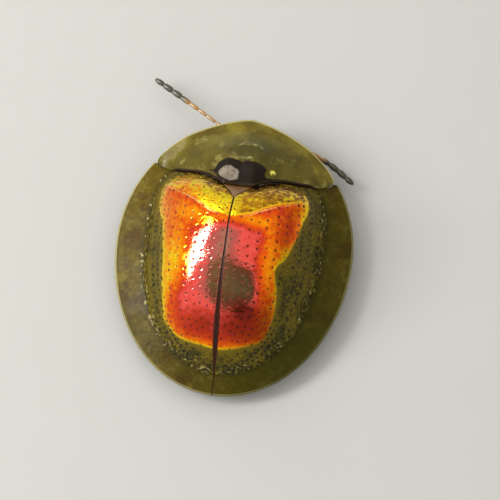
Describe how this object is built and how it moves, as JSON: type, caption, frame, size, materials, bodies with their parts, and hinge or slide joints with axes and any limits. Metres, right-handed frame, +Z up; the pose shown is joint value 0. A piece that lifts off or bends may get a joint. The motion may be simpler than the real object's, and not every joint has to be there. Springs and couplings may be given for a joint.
{
  "type": "tortoise beetle",
  "caption": "Golden tortoise beetle standing on its feet: a domed pair of wing cases with a flat clear rim, a lens-shaped shield over the head, beaded feelers and short legs beneath",
  "frame": {"origin": "On the floor, under the middle of the whole length from the tail to the tip of the left feeler, and on the midline of the body", "axes": "+Z up, the head towards -Y and the tail towards +Y, the beetle's left side towards +X"},
  "size_m": [0.0072, 0.0096, 0.0034],
  "materials": {
    "elytra": "mirror-bright metallic cuticle: pink-red to orange, gold and green on the raised disc, olive at its foot, and a clear honey rim",
    "pronotum": "glossy translucent olive-honey cuticle with a black two-lobed mark at its base",
    "scutellum": "glossy dark brown cuticle",
    "underside": "satin near-black brown cuticle",
    "head": "satin brown cuticle",
    "mouthparts": "satin dark brown cuticle",
    "eyes": "glossy black, finely faceted",
    "antennae": "fine pale amber stem with a dark brown club",
    "legs": "satin amber cuticle with short pale hairs"
  },
  "bodies": {
    "root": {"elytron_left": "elytra", "elytron_right": "elytra", "pronotum": "pronotum", "scutellum": "scutellum", "abdomen": "underside", "thorax": "underside", "prothorax": "underside", "head": "head", "mouthparts": "mouthparts", "eye_left": "eyes", "eye_right": "eyes", "antenna_left": "antennae", "antenna_right": "antennae", "leg_front_left_femur": "legs", "leg_front_left_tibia": "legs", "leg_front_left_tarsus": "legs", "leg_middle_left_femur": "legs", "leg_middle_left_tibia": "legs", "leg_middle_left_tarsus": "legs", "leg_hind_left_femur": "legs", "leg_hind_left_tibia": "legs", "leg_hind_left_tarsus": "legs", "leg_front_right_femur": "legs", "leg_front_right_tibia": "legs", "leg_front_right_tarsus": "legs", "leg_middle_right_femur": "legs", "leg_middle_right_tibia": "legs", "leg_middle_right_tarsus": "legs", "leg_hind_right_femur": "legs", "leg_hind_right_tibia": "legs", "leg_hind_right_tarsus": "legs"}
  },
  "joints": []
}
